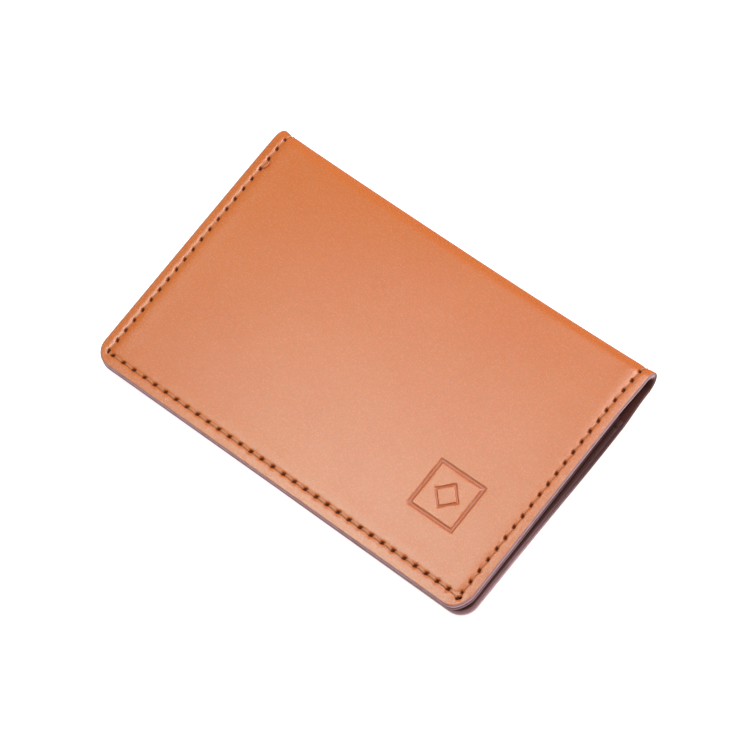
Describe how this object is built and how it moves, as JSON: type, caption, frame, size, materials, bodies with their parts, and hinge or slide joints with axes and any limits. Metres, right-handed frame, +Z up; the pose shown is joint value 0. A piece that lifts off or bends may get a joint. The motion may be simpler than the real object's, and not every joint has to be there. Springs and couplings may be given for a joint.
{
  "type": "bifold card holder",
  "caption": "Slim folding card holder: stitched leather cover with a soft rounded spine, dark lining, and one flat card pocket inside each half.",
  "frame": {"origin": "middle of the underside of the closed card holder, on the surface that it lies on", "axes": "+X along the fold; +Y from the free edge towards the fold; +Z up, out of the front half"},
  "size_m": [0.106, 0.0684, 0.0072],
  "materials": {
    "cover_leather": "satin vegetable-tanned tan leather with a fine grain",
    "pocket_leather": "matt dark brown leather",
    "lining": "matt dark brown suede-like lining",
    "thread": "waxed twisted thread, light tan"
  },
  "bodies": {
    "back_half": {"back_cover": "cover_leather", "back_lining": "lining", "back_pocket": "pocket_leather", "back_thread": "thread"},
    "lower_spine": {"lower_spine_cover": "cover_leather", "lower_spine_lining": "lining", "lower_spine_thread": "thread"},
    "upper_spine": {"upper_spine_cover": "cover_leather", "upper_spine_lining": "lining", "upper_spine_thread": "thread"},
    "front_half": {"front_cover": "cover_leather", "front_lining": "lining", "front_pocket": "pocket_leather", "front_thread": "thread"}
  },
  "joints": [
    {"name": "back_fold", "type": "hinge", "parent": "back_half", "child": "lower_spine", "pos_m": [0, 0.03065, 0.0006], "axis": [-1, 0, 0], "range_deg": [0, 45]},
    {"name": "spine_fold", "type": "hinge", "parent": "lower_spine", "child": "upper_spine", "pos_m": [0, 0.03365, 0.0036], "axis": [-1, 0, 0], "range_deg": [0, 90]},
    {"name": "front_fold", "type": "hinge", "parent": "upper_spine", "child": "front_half", "pos_m": [0, 0.03065, 0.0066], "axis": [-1, 0, 0], "range_deg": [0, 46.24]}
  ],
  "couplings": [
    {"joint": "spine_fold", "follows": "back_fold", "ratio": 2},
    {"joint": "front_fold", "follows": "back_fold", "ratio": 1.0275}
  ]
}
